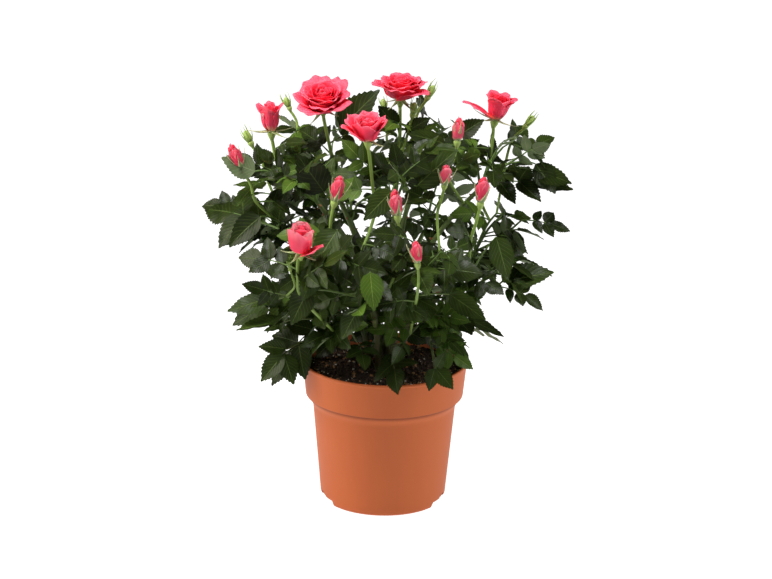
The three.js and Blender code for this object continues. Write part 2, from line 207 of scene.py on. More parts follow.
def leafMaterial(name, dark, light, vein, veinShow, rough, relief):
    shade = Shade(name)
    spot = shade.place()
    along = shade.bladeMap("X")
    across = abs(shade.bladeMap("Y") * 2 - 1)
    beat = ((along - across * blade["slope"]) * blade["veins"]).math("PINGPONG", 0.5)
    rib = across.step(blade["ribWidth"], 0.0)
    side = beat.step(blade["veinWidth"], 0.0) * across.step(1.0, 0.7)
    net = shade.noise(spot, 1.1, 3.0, 0.6)
    patches = shade.noise(spot, 0.045, 2.0, 0.5)
    colour = shade.mix(patches.step(0.3, 0.72), tone(*dark), tone(*light))
    colour = shade.mix(net * 0.25, colour, tone(*light))
    colour = shade.mix(rib * (veinShow * 1.4) + side * (veinShow * 0.7), colour, tone(*vein))
    quilt = beat * 0.8 + net * 0.25 - rib * 0.9
    shade.bump(quilt, relief, 0.35 * mm)
    return shade.finish(
        Base_Color=colour, Roughness=rough + net * 0.12, Specular_IOR_Level=0.16,
        Subsurface_Weight=0.06, Subsurface_Radius=(0.3, 1.0, 0.15), Subsurface_Scale=0.5 * mm,
    )


# petals: pale at the claw, full coral above, fine veins that fan to a lighter rim
def petalMaterial(name, claw, body, rim, depth):
    shade = Shade(name)
    spot = shade.place()
    along = shade.bladeMap("X")
    across = shade.bladeMap("Y")
    waver = shade.noise(spot, 0.25, 2.0)
    fan = ((across - 0.5) * 34 + waver * 2.5).math("SINE")
    clouds = shade.noise(spot, 0.12, 3.0, 0.6)
    colour = shade.mix(along.step(0.02, 0.34), tone(*claw), tone(*body))
    colour = shade.mix(along.step(0.62, 1.0) * 0.6 + clouds * 0.25, colour, tone(*rim))
    colour = shade.mix((fan * 0.5 + 0.5) * 0.10, colour, tone(*depth))
    shade.bump(fan * 0.3 + clouds * 1.4, 0.22, 0.35 * mm)
    return shade.finish(
        Base_Color=colour, Roughness=0.5 + clouds * 0.1, Specular_IOR_Level=0.15,
        Subsurface_Weight=0.4, Subsurface_Radius=(1.0, 0.22, 0.26), Subsurface_Scale=2 * mm,
    )


def sepalMaterial(name, body, edge):
    shade = Shade(name)
    spot = shade.place()
    across = abs(shade.bladeMap("Y") * 2 - 1)
    down = shade.noise(spot, 1.6, 3.0, 0.6)
    colour = shade.mix(across.step(0.35, 0.95) * 0.8 + down * 0.2, tone(*body), tone(*edge))
    shade.bump(down, 0.25, 0.25 * mm)
    return shade.finish(Base_Color=colour, Roughness=0.62)


skins = {
    "pot": potMaterial(),
    "peat": peatMaterial("moistPeat", (76, 54, 40), (28, 18, 13), 0.8),
    "fleck": peatMaterial("barkFleck", (196, 148, 100), (120, 82, 54), 1.5),
    "crumb": peatMaterial("peatCrumb", (104, 76, 56), (40, 27, 19), 1.5),
    "perlite": peatMaterial("perlite", (236, 232, 222), (176, 168, 152), 1.2),
    "cane": stemMaterial("caneBark", (84, 104, 44), (76, 62, 34), (96, 190), 0.35),
    "shoot": stemMaterial("shootSkin", (84, 112, 44), (74, 80, 38), (110, 230), 0.2),
    "stalk": stemMaterial("stalkSkin", (124, 152, 58), (96, 120, 48), (150, 260), 0.15),
    "thorn": stemMaterial("thornHorn", (150, 96, 60), (110, 60, 40), (110, 230), 0.1),
    "leafDeep": leafMaterial("leafDeep", (22, 31, 6), (37, 48, 14), (92, 110, 54), 0.4, 0.30, 0.35),
    "leafMid": leafMaterial("leafMid", (32, 45, 11), (49, 64, 20), (110, 132, 64), 0.4, 0.33, 0.35),
    "leafFresh": leafMaterial("leafFresh", (50, 72, 18), (76, 102, 32), (140, 160, 82), 0.45, 0.38, 0.45),
    "leafUnder": leafMaterial("leafUnder", (84, 100, 66), (116, 130, 92), (150, 158, 118), 0.5, 0.66, 0.4),
    "petalHeart": petalMaterial("petalHeart", (252, 110, 88), (245, 14, 50), (253, 68, 92), (206, 2, 38)),
    "petalGuard": petalMaterial("petalGuard", (252, 186, 150), (250, 54, 86), (255, 108, 128), (220, 12, 54)),
    "petalPale": petalMaterial("petalPale", (252, 196, 168), (254, 76, 104), (255, 124, 142), (226, 24, 64)),
    "sepal": sepalMaterial("sepalGreen", (104, 136, 72), (196, 190, 150)),
    "calyx": sepalMaterial("calyxGreen", (124, 158, 66), (150, 172, 86)),
}
print("materials made,", len(skins))


# shapes gathered from templates into one mesh, with a material for each face and a map
class Heap:
    def __init__(self):
        self.points = []
        self.faces = []
        self.maps = []
        self.skins = []
        self.names = []
        self.size = 0

    def add(self, shape, matrix, skinNames):
        turn = np.array(matrix.to_3x3())
        self.points.append(shape["points"] @ turn.T + np.array(matrix.translation))
        self.faces.extend([[i + self.size for i in face] for face in shape["faces"]])
        self.maps.append(shape["map"])
        for name in skinNames:
            if name not in self.names:
                self.names.append(name)
        self.skins.extend(self.names.index(skinNames[kind]) for kind in shape["kinds"])
        self.size += len(shape["points"])


def linked(name, data):
    thing = bpy.data.objects.new(name, data)
    scene.collection.objects.link(thing)
    return thing


# a finished piece: mesh from a heap, in its place, with its materials
def makePiece(name, heap):
    mesh = bpy.data.meshes.new(name)
    mesh.from_pydata(np.concatenate(heap.points).tolist(), [], heap.faces)
    layer = mesh.uv_layers.new(name="blade")
    layer.data.foreach_set("uv", np.concatenate(heap.maps).ravel())
    for skin in heap.names:
        mesh.materials.append(skins[skin])
    mesh.polygons.foreach_set("material_index", heap.skins)
    mesh.polygons.foreach_set("use_smooth", [True] * len(mesh.polygons))
    mesh.update()
    return linked(name, mesh)


# reads a bmesh into the arrays a heap takes
def template(bm):
    bm.verts.index_update()
    layer = bm.loops.layers.uv.verify()
    shape = {
        "points": np.array([v.co[:] for v in bm.verts]),
        "faces": [[v.index for v in face.verts] for face in bm.faces],
        "map": np.array([loop[layer].uv[:] for face in bm.faces for loop in face.loops]),
        "kinds": [face.material_index for face in bm.faces],
    }
    bm.free()
    return shape


def joined(first, second):
    size = len(first["points"])
    return {
        "points": np.concatenate([first["points"], second["points"]]),
        "faces": first["faces"] + [[i + size for i in face] for face in second["faces"]],
        "map": np.concatenate([first["map"], second["map"]]),
        "kinds": first["kinds"] + second["kinds"],
    }


def fillHoles(bm):
    rims = [edge for edge in bm.edges if edge.is_boundary]
    bmesh.ops.holes_fill(bm, edges=rims, sides=0)


# a closed shell spun from an outline of radius and height
def spun(outline, steps):
    bm = bmesh.new()
    ring = [bm.verts.new((r * mm, 0, z * mm)) for r, z in outline]
    edges = [bm.edges.new(pair) for pair in zip(ring, ring[1:])]
    bmesh.ops.spin(
        bm, geom=ring + edges, cent=(0, 0, 0), axis=(0, 0, 1), angle=math.tau,
        steps=steps, use_merge=True, use_duplicate=False,
    )
    bmesh.ops.remove_doubles(bm, verts=bm.verts, dist=0.001 * mm)
    fillHoles(bm)
    return bm


# a grid carried onto a surface: form(u, v) takes u along 0..1 and v across -1..1
def sheet(along, across, form, kind=0, reverse=False, thick=0.0):
    bm = bmesh.new()
    bmesh.ops.create_grid(bm, x_segments=along, y_segments=across, size=1)
    layer = bm.loops.layers.uv.verify()
    for face in bm.faces:
        face.material_index = kind
        for loop in face.loops:
            loop[layer].uv = (loop.vert.co.x / 2 + 0.5, loop.vert.co.y / 2 + 0.5)
    for vert in bm.verts:
        vert.co = form(vert.co.x / 2 + 0.5, vert.co.y)
    if reverse:
        bmesh.ops.reverse_faces(bm, faces=bm.faces)
    if thick:
        bmesh.ops.solidify(bm, geom=bm.faces[:], thickness=thick)
    return template(bm)


# a frame whose x runs along a heading and whose z leans to a chosen face
def aimed(origin, heading, face, size=1.0):
    x = heading.normalized()
    y = face.cross(x)
    if y.length < 1e-4:
        y = Vector((0.3, 0.9, 0.1)).cross(x)
    y.normalize()
    z = x.cross(y)
    matrix = Matrix((x * size, y * size, z * size)).transposed().to_4x4()
    matrix.translation = origin
    return matrix


def flat(spot):
    return Vector((spot.x, spot.y, 0)).normalized()


def polar(angle, rise=0.0):
    a, b = math.radians(angle), math.radians(rise)
    return Vector((math.cos(a) * math.cos(b), math.sin(a) * math.cos(b), math.sin(b)))


# a piece's name from its node's, and what each piece stands in for
def camel(name):
    words = name.split("_")
    return words[0] + "".join(word.capitalize() for word in words[1:])


def fit(piece, nodeNames):
    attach(piece, "root")
    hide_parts(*nodeNames)


def eased(t):
    t = min(max(t, 0.0), 1.0)
    return t * t * (3 - 2 * t)


def blend(a, b, t):
    return a + (b - a) * t


# stems are curves with a round section, made into meshes once all are drawn
class Stems:
    def __init__(self, name, skin, sides=1):
        self.curve = bpy.data.curves.new(name, "CURVE")
        self.curve.dimensions = "3D"
        self.curve.bevel_depth = 1.0
        self.curve.bevel_resolution = sides
        self.curve.use_fill_caps = True
        self.curve.materials.append(skins[skin])
        self.name = name

    def draw(self, points, radii, smooth=False):
        spline = self.curve.splines.new("POLY")
        if smooth:
            points, radii = smoothed(points, radii, 5)
        spline.points.add(len(points) - 1)
        for spot, point, radius in zip(spline.points, points, radii):
            spot.co = (*point, 1)
            spot.radius = radius
        spline.use_smooth = True

    def piece(self):
        source = linked(self.name + "Curve", self.curve)
        graph = bpy.context.evaluated_depsgraph_get()
        mesh = bpy.data.meshes.new_from_object(source.evaluated_get(graph))
        mesh.name = self.name
        bpy.data.objects.remove(source)
        return linked(self.name, mesh)


# rounds a few points into a flowing line, with radii to match
def smoothed(points, radii, steps):
    line, widths = [], []
    count = len(points)
    for i in range(count - 1):
        before = points[max(i - 1, 0)]
        after = points[min(i + 2, count - 1)]
        a, b = points[i], points[i + 1]
        for k in range(steps):
            t = k / steps
            push = (b - before) * 0.5 * (t ** 3 - 2 * t ** 2 + t)
            pull = (after - a) * 0.5 * (t ** 3 - t ** 2)
            line.append(a * (2 * t ** 3 - 3 * t ** 2 + 1) + b * (3 * t ** 2 - 2 * t ** 3) + push + pull)
            widths.append(blend(radii[i], radii[i + 1], t))
    line.append(points[-1])
    widths.append(radii[-1])
    return line, widths


# the pot: one spun shell with a rim bead, collar, drainage notches and moulded steps
potSizes = {
    "height": 105, "rim": 60, "collar": 26, "collarFoot": 57, "shelf": 6.5, "bodyTop": 51.7,
    "base": 45.4, "wall": 1.4, "floor": 1.8, "notchHeight": 3.6, "notchInner": 34, "notchAngle": 38,
    "drainRing": 40, "drainTurn": 18, "slotTurns": (14, 25), "turns": 160,
}


def makePot():
    s = potSizes
    names = ("height", "rim", "collarFoot", "bodyTop", "base", "wall")
    brim, rim, collar, body, base, wall = (s[name] for name in names)
    foot = brim - s["collar"]
    top = foot - s["shelf"]
    inside = s["floor"] + 4
    bm = spun([
        (0.5, 0), (s["notchInner"] - 0.4, 0), (s["notchInner"] + 0.4, 0),
        (s["drainRing"] - 2.5, 0), (s["drainRing"] + 2.2, 0),
        (base - 2.4, 0.05), (base - 1.1, 0.5), (base - 0.25, 1.6), (base, 2.8), (base + 0.15, 4.6),
        (base + 0.3, 6.6), (body - 0.2, top - 2), (body + 0.1, top), (body + 0.9, top + 1.2),
        (collar - 1.9, foot - 0.9), (collar - 1.5, foot + 0.25), (collar - 0.45, foot + 0.15),
        (collar - 0.05, foot + 0.5), (collar + 0.05, foot + 1.2),
        (rim - 0.75, brim - 3.0), (rim - 0.65, brim - 2.4), (rim - 0.15, brim - 2.0),
        (rim, brim - 1.5), (rim, brim - 0.8), (rim - 0.35, brim - 0.2), (rim - 1.0, brim),
        (rim - wall - 0.4, brim - 0.25), (rim - wall - 0.8, brim - 1.2),
        (collar - wall, foot + 1), (body - wall, top + 1), (base - wall, inside), (0.5, inside),
    ], s["turns"])
    # the foot lifts at each side, where water drains out
    for vert in bm.verts:
        reach = vert.co.to_2d().length / mm
        turn = math.degrees(math.atan2(abs(vert.co.y), abs(vert.co.x)))
        if reach > s["notchInner"] and vert.co.z < 3 * mm and turn < s["notchAngle"]:
            vert.co.z = s["notchHeight"] * mm + vert.co.z * 0.3
    bmesh.ops.recalc_face_normals(bm, faces=bm.faces)
    # drains are cut up through the lifted floor and the foot of the wall
    openings = []
    for face in bm.faces:
        spot = face.calc_center_median()
        reach = spot.to_2d().length / mm
        turn = math.degrees(math.atan2(abs(spot.y), abs(spot.x)))
        inFloor = abs(reach - s["drainRing"]) < 2.4 and spot.z < 5 * mm and face.normal.z < -0.5
        inWall = abs(reach - base) < 0.8 and 3.8 * mm < spot.z < 6 * mm
        inDrain = inFloor and abs(turn - s["drainTurn"]) < 3.4
        inSlot = inWall and s["slotTurns"][0] < turn < s["slotTurns"][1]
        if inDrain or inSlot:
            openings.append(face)
    inner = bmesh.ops.extrude_face_region(bm, geom=openings)["geom"]
    deeper = [g for g in inner if isinstance(g, bmesh.types.BMVert)]
    for vert in deeper:
        if vert.co.to_2d().length > (base - 1) * mm:
            vert.co.x, vert.co.y = vert.co.x * 0.972, vert.co.y * 0.972
        else:
            vert.co.z += 1.4 * mm
    bmesh.ops.delete(bm, geom=openings, context="FACES")
    bmesh.ops.delete(bm, geom=[g for g in inner if isinstance(g, bmesh.types.BMFace)], context="FACES_ONLY")
    for face in bm.faces:
        face.smooth = True
    mesh = bpy.data.meshes.new("pot")
    bm.to_mesh(mesh)
    bm.free()
    mesh.materials.append(skins["pot"])
    mesh.set_sharp_from_angle(angle=math.radians(40))
    return linked("nurseryPot", mesh)


fit(makePot(), ["pot"])
print("pot made")


# the soil: a crumbly mound with loose crumbs and grains of perlite on it
soilSizes = {
    "surface": 97, "radius": 56.6, "crown": 3.0, "crumbs": 2600, "grains": 150, "seed": 5,
    "under": ((54.6, 84), (49.4, 74), (43.2, 9)),
}


def soilHeight(x, y):
    reach = min(math.hypot(x, y) / soilSizes["radius"], 1)
    bumps = 0.9 * math.sin(x * 0.21 + 1.3) * math.sin(y * 0.17 + 0.4) + 0.5 * math.sin(x * 0.53 + y * 0.41)
    return soilSizes["surface"] + soilSizes["crown"] * (1 - reach ** 2) + bumps * (1 - reach ** 6)


def makeSoil():
    s = soilSizes
    rng = random.Random(s["seed"])
    heap = Heap()
    bm = bmesh.new()
    bmesh.ops.create_circle(bm, cap_ends=True, cap_tris=True, segments=96, radius=s["radius"])
    bmesh.ops.subdivide_edges(bm, edges=bm.edges, cuts=9, use_grid_fill=True)
    for vert in bm.verts:
        x, y = vert.co.x, vert.co.y
        vert.co = Vector((x, y, soilHeight(x, y) + rng.uniform(-0.5, 0.5))) * mm
    for radius, depth in s["under"]:
        rims = [edge for edge in bm.edges if edge.is_boundary]
        down = bmesh.ops.extrude_edge_only(bm, edges=rims)["geom"]
        for vert in down:
            if isinstance(vert, bmesh.types.BMVert):
                way = vert.co.to_2d().normalized() * radius * mm
                vert.co = Vector((way.x, way.y, depth * mm))
    fillHoles(bm)
    bmesh.ops.recalc_face_normals(bm, faces=bm.faces)
    heap.add(template(bm), Matrix.Identity(4), ["peat"])
    lumps = []
    for k in range(5):
        bm = bmesh.new()
        bmesh.ops.create_icosphere(bm, subdivisions=1, radius=1)
        for vert in bm.verts:
            vert.co *= rng.uniform(0.6, 1.25)
        lumps.append(template(bm))
    for k in range(s["crumbs"] + s["grains"]):
        turn, reach = rng.uniform(0, 360), s["radius"] * math.sqrt(rng.random()) * 0.985
        spot = polar(turn) * reach
        grain = k >= s["crumbs"]
        if grain:
            size = rng.uniform(0.4, 1.0)
        else:
            size = rng.choice((0.3, 0.45, 0.6, 0.9, 1.3)) * rng.uniform(0.7, 1.2)
        spot.z = soilHeight(spot.x, spot.y) + size * 0.35
        heading = polar(rng.uniform(0, 360), rng.uniform(-30, 30))
        matrix = aimed(spot * mm, heading, skyward, size * mm)
        skin = "perlite" if grain else rng.choice(("crumb", "crumb", "peat", "peat", "peat", "fleck"))
        heap.add(rng.choice(lumps), matrix, [skin])
    return makePiece("soilMound", heap)


fit(makeSoil(), ["soil"])
print("soil made")


# the middle of each ring of a packed limb, from foot to tip
def limbLine(name):
    points = [v.co.copy() for v in nodes[name].data.vertices]
    start = min(points, key=lambda p: p.z)
    far = max(points, key=lambda p: (p - start).length)
    way = (far - start).normalized()
    points.sort(key=lambda p: p.dot(way))
    rings = [[points[0]]]
    for point in points[1:]:
        if (point - rings[-1][-1]).dot(way) > 3.2 * mm:
            rings.append([])
        rings[-1].append(point)
    middles = []
    for ring in rings:
        unique = {tuple(round(c, 5) for c in p): p for p in ring}
        middles.append(sum(unique.values(), Vector()) / len(unique))
    return middles


# canes and boughs, each with its taper, knots and thorns
caneSizes = {"foot": 2.7, "tip": 1.5, "boughFoot": 1.7, "boughTip": 1.1, "thorn": 3.0, "thorns": 9}
limbs = {}


def thornTemplate():
    bm = bmesh.new()
    bmesh.ops.create_cone(bm, segments=6, radius1=0.55, radius2=0.04, depth=1.0, cap_ends=True)
    bmesh.ops.rotate(bm, verts=bm.verts, matrix=Matrix.Rotation(math.pi / 2, 3, "Y"))
    for vert in bm.verts:
        vert.co.x += 0.4
        vert.co.z -= 0.35 * max(vert.co.x, 0) ** 2
        vert.co.y *= 0.5
    return template(bm)


def setThorns(heap, line, radii, count, rng):
    for k in range(count):
        i = rng.randrange(len(line) // 4, len(line) - 1)
        way = (line[i + 1] - line[i]).normalized()
        out = way.cross(polar(rng.uniform(0, 360), 10)).normalized()
        spot = line[i].lerp(line[i + 1], rng.random()) + out * radii[i] * 0.8
        heap.add(thorn, aimed(spot, out, way, caneSizes["thorn"] * mm * rng.uniform(0.6, 1.1)), ["thorn"])


thorn = thornTemplate()
thornHeap = Heap()
limbNames = sorted(n for n in nodes if n.startswith(("cane", "bough")))
for number, name in enumerate(limbNames):
    rng = random.Random(number + 40)
    middles = limbLine(name)
    isBough = name.startswith("bough")
    foot, tip = ("boughFoot", "boughTip") if isBough else ("foot", "tip")
    last = len(middles) - 1
    widths = [blend(caneSizes[foot], caneSizes[tip], i / last) * mm for i in range(last + 1)]
    line, radii = smoothed(middles, widths, 7)
    for i in range(4, len(line) - 2):
        line[i] = line[i] + polar(rng.uniform(0, 360)) * 0.25 * mm
        if i % 6 == 0:
            radii[i] *= 1.16  # knots where leaves once stood
    stems = Stems(camel(name), "cane", 3)
    stems.draw(line, radii)
    fit(stems.piece(), [name])
    limbs[name] = line
    setThorns(thornHeap, line, radii, caneSizes["thorns"] // (2 if isBough else 1), rng)
print("canes made,", len(limbs))


# leaflet blades: toothed, folded on the midrib and arched, with a paler sheet beneath
leafletSizes = {
    "teeth": 11, "bite": 0.10, "width": 0.31, "fold": 0.11, "arch": 0.10, "wave": 0.012,
    "full": 3.0, "footRound": 0.62, "tipRound": 1.05, "underSize": 0.95, "underGap": 0.010,
}


def leafletForm(u, v, traits, under=False):
    s = leafletSizes
    steps = 2 * s["teeth"]
    column = round(u * steps)
    reach = s["full"] * u ** s["footRound"] * (1 - u) ** s["tipRound"]
    half = s["width"] * traits["wide"] * reach
    x = u
    if abs(v) > 0.99 and not under and 0 < column < steps:
        tooth = 1 if column % 2 else -1
        half *= 1 + s["bite"] * tooth * 0.5
        x += s["bite"] * 0.16 * tooth
    if under:
        half *= s["underSize"]
        x = 0.015 + x * 0.965
    y = half * v
    z = abs(y) * s["fold"] * traits["fold"] * 2 - 0.9 * traits["cup"] * y * y
    z -= s["arch"] * traits["arch"] * x ** 2.2
    z += s["wave"] * abs(v) * math.sin(x * 17 + traits["phase"] + (1.7 if v > 0 else 0))
    y += traits["sway"] * x * x
    if under:
        z -= s["underGap"]
    return Vector((x, y, z))


def leafletTemplates(count):
    shapes = []
    for k in range(count):
        rng = random.Random(k + 70)
        traits = {
            "wide": rng.uniform(0.86, 1.12), "fold": rng.uniform(0.35, 1.5), "cup": rng.uniform(-0.3, 1.2),
            "arch": rng.uniform(0.2, 1.5), "phase": rng.uniform(0, 6.3), "sway": rng.uniform(-0.06, 0.06),
        }
        top = sheet(2 * leafletSizes["teeth"], 4, lambda u, v: leafletForm(u, v, traits))
        under = sheet(8, 2, lambda u, v: leafletForm(u, v, traits, True), kind=1, reverse=True)
        shapes.append(joined(top, under))
    return shapes


leaflets = leafletTemplates(9)

# whole leaves: a stalk that arches, with pairs of leaflets and one at the end
leafSizes = {"blade": 32, "stalk": 17, "gap": 15, "endGap": 9, "spread": 62, "radius": 0.55}
petioles = Stems("leafStalks", "shoot", 1)


def growLeaf(heap, base, heading, face, size, pairs, skin, rng, droop=28):
    s = leafSizes
    turn = aimed(base, heading, face)
    x, y, z = (turn.col[i].to_3d() for i in range(3))
    total = s["stalk"] + s["gap"] * (pairs - 1) + s["endGap"]
    spots, point, steps = [], base.copy(), 9
    bend = math.radians(droop * rng.uniform(0.6, 1.3))
    sway = rng.uniform(-0.25, 0.25)
    for k in range(steps + 1):
        t = k / steps
        way = (x * math.cos(bend * t) - z * math.sin(bend * t) + y * sway * t).normalized()
        lift = way.cross(y).normalized()
        spots.append((point.copy(), way, lift))
        point = point + way * (total * size * mm / steps)
    widths = [blend(1.5, 0.7, k / steps) * s["radius"] * size ** 0.5 * mm for k in range(steps + 1)]
    petioles.draw([p for p, way, lift in spots], widths)
    for k in range(pairs):
        where = (s["stalk"] + s["gap"] * k) / total * steps
        low = min(int(where), steps - 1)
        point, way, lift = spots[low]
        point = point.lerp(spots[low + 1][0], where - low)
        for side in (-1, 1):
            angle = math.radians(s["spread"] * rng.uniform(0.82, 1.18))
            out = way * math.cos(angle) + y * side * math.sin(angle) + lift * rng.uniform(-0.28, 0.2)
            tilt = lift + y * side * rng.uniform(-0.3, 0.25) + way * rng.uniform(-0.2, 0.2)
            length = s["blade"] * size * blend(0.72, 0.9, k / max(pairs - 1, 1)) * rng.uniform(0.88, 1.08)
            heap.add(rng.choice(leaflets), aimed(point, out, tilt, length * mm), [skin, "leafUnder"])
    point, way, lift = spots[-1]
    way = (way - lift * rng.uniform(-0.05, 0.3)).normalized()
    length = s["blade"] * size * rng.uniform(1.0, 1.14)
    leaflet = rng.choice(leaflets)
    tilt = lift + y * rng.uniform(-0.3, 0.3)
    heap.add(leaflet, aimed(point, way, tilt, length * mm), [skin, "leafUnder"])


# the growing rule: a limb's tip forks into shoots that fill its mass, with leaves set in a spiral
growth = {
    # the skirt's large share of fresh leaves is partly the lower leaves' own lighter, yellower green and
    # partly painted light that lifts the leaves the crown shades
    "skirt": {"shoots": 5, "leaves": 3, "rise": (-8, 30), "fresh": 0.55, "droop": 26, "size": 0.72},
    "waist": {"shoots": 4, "leaves": 3, "rise": (-4, 32), "fresh": 0.16, "droop": 22, "size": 0.79},
    "shoulder": {"shoots": 4, "leaves": 3, "rise": (-12, 36), "fresh": 0.08, "droop": 28, "size": 0.92},
    "top": {"shoots": 4, "leaves": 3, "rise": (0, 62), "fresh": 0.08, "droop": 20, "size": 0.96},
}
spiral = 137.5
overhang = -2 * mm
leafWays = {
    "last": (1.3, 0.35), "side": (0.5, 0.85), "outward": 0.45,
    "up": 0.75, "out": 0.7, "front": 0.2, "stray": 0.65, "smallest": 0.5,
}
shootRadii = [1.15 * mm, 0.95 * mm, 0.7 * mm]
shoots = Stems("shoots", "shoot", 1)
shootSpots = []
fullReach = (leafSizes["stalk"] + leafSizes["gap"] + leafSizes["endGap"] + leafSizes["blade"]) * mm


def massPoints(name):
    return [v.co.copy() for v in nodes[name].data.vertices]


def pickSkin(rng, fresh):
    roll = rng.random()
    return "leafFresh" if roll < fresh else "leafMid" if roll < fresh + 0.38 else "leafDeep"


def spreadTargets(points, count, centre, rng):
    chosen = [max(points, key=lambda p: (p - Vector((0, 0, p.z))).length + rng.uniform(0, 6) * mm)]
    while len(chosen) < count:
        def room(p):
            return min((p - c).length for c in chosen) + 0.25 * (p.z - centre.z)
        chosen.append(max(points, key=room))
    return chosen


def nearestLimb(point, below):
    best = None
    for line in limbs.values():
        for spot in line[len(line) // 3:]:
            if spot.z < below:
                gap = (spot - point).length
                if best is None or gap < best[0]:
                    best = (gap, spot)
    return best[1]


def growMass(name, number):
    tier = name.split("_")[1]
    rule = growth[tier]
    rng = random.Random(number * 13 + 4)
    points = massPoints(name)
    centre = sum(points, Vector()) / len(points)
    tips = [line[-1] for line in limbs.values() if (line[-1] - centre).length < 40 * mm]
    start = min(tips, key=lambda p: (p - centre).length) if tips else nearestLimb(centre, centre.z)
    heap = Heap()
    for k, target in enumerate(spreadTargets(points, rule["shoots"], centre, rng)):
        end = centre.lerp(target, 0.45)
        bend = start.lerp(end, 0.5) + Vector((0, 0, rng.uniform(-3, 6))) * mm
        line, radii = smoothed([start, bend, end], shootRadii, 6)
        shoots.draw(line, radii)
        shootSpots.extend(line)
        turn = rng.uniform(0, 360)
        for j in range(rule["leaves"]):
            t = (j + 1) / rule["leaves"]
            spot = line[min(int(t * (len(line) - 1)), len(line) - 1)]
            outward = flat(spot)
            around = polar(turn + spiral * j)
            ahead, aside = leafWays["last" if j == rule["leaves"] - 1 else "side"]
            heading = (target - centre).normalized() * ahead
            heading = heading + around * aside + outward * leafWays["outward"]
            heading.z = 0
            heading = heading.normalized()
            rise = math.radians(rng.uniform(*rule["rise"]))
            heading = heading * math.cos(rise) + skyward * math.sin(rise)
            face = skyward * leafWays["up"] + outward * leafWays["out"] + toFront * leafWays["front"]
            face = face + polar(rng.uniform(0, 360), rng.uniform(-30, 30)) * leafWays["stray"]
            room = max((p - spot).dot(heading) for p in points) + overhang
            most = rule["size"] * rng.uniform(0.84, 1.12)
            size = min(max(room / fullReach, leafWays["smallest"]), most)
            pairs = rng.choice((1, 2, 2, 2))
            growLeaf(heap, spot, heading, face, size, pairs, pickSkin(rng, rule["fresh"]), rng, rule["droop"])
    fit(makePiece(camel(name.replace("foliage", "leaves")), heap), [name])


masses = sorted(n for n in nodes if n.startswith("foliage"))
for number, name in enumerate(masses):
    growMass(name, number)
print("foliage grown,", len(masses), "masses")


# outlying sprays: single leaves that carry the crown out to its furthest tips
spraySizes = {"size": 0.92, "rimSize": 0.7, "droop": 14}


def growSpray(name, number):
    rng = random.Random(number + 300)
    points = massPoints(name)
    inner = min(points, key=lambda p: p.to_2d().length)
    outer = max(points, key=lambda p: p.to_2d().length)
    way = outer - inner
    heap = Heap()
    size = spraySizes["rimSize"] if name.endswith("front_foot") else spraySizes["size"]
    base = outer - way.normalized() * fullReach * size
    face = skyward + way.cross(skyward).normalized() * rng.uniform(-0.5, 0.5) + toFront * 0.35
    start = min(shootSpots, key=lambda p: (p - base).length)
    shoots.draw([start, start.lerp(base, 0.5) - skyward * 2 * mm, base], [0.9 * mm, 0.8 * mm, 0.7 * mm], True)
    heading = way.normalized() + skyward * 0.12
    skin = rng.choice(("leafMid", "leafDeep"))
    growLeaf(heap, base, heading, face, size, 2, skin, rng, spraySizes["droop"])
    fit(makePiece(camel(name), heap), [name])


sprays = sorted(n for n in nodes if n.startswith("spray"))
for number, name in enumerate(sprays):
    growSpray(name, number)
print("sprays grown,", len(sprays))


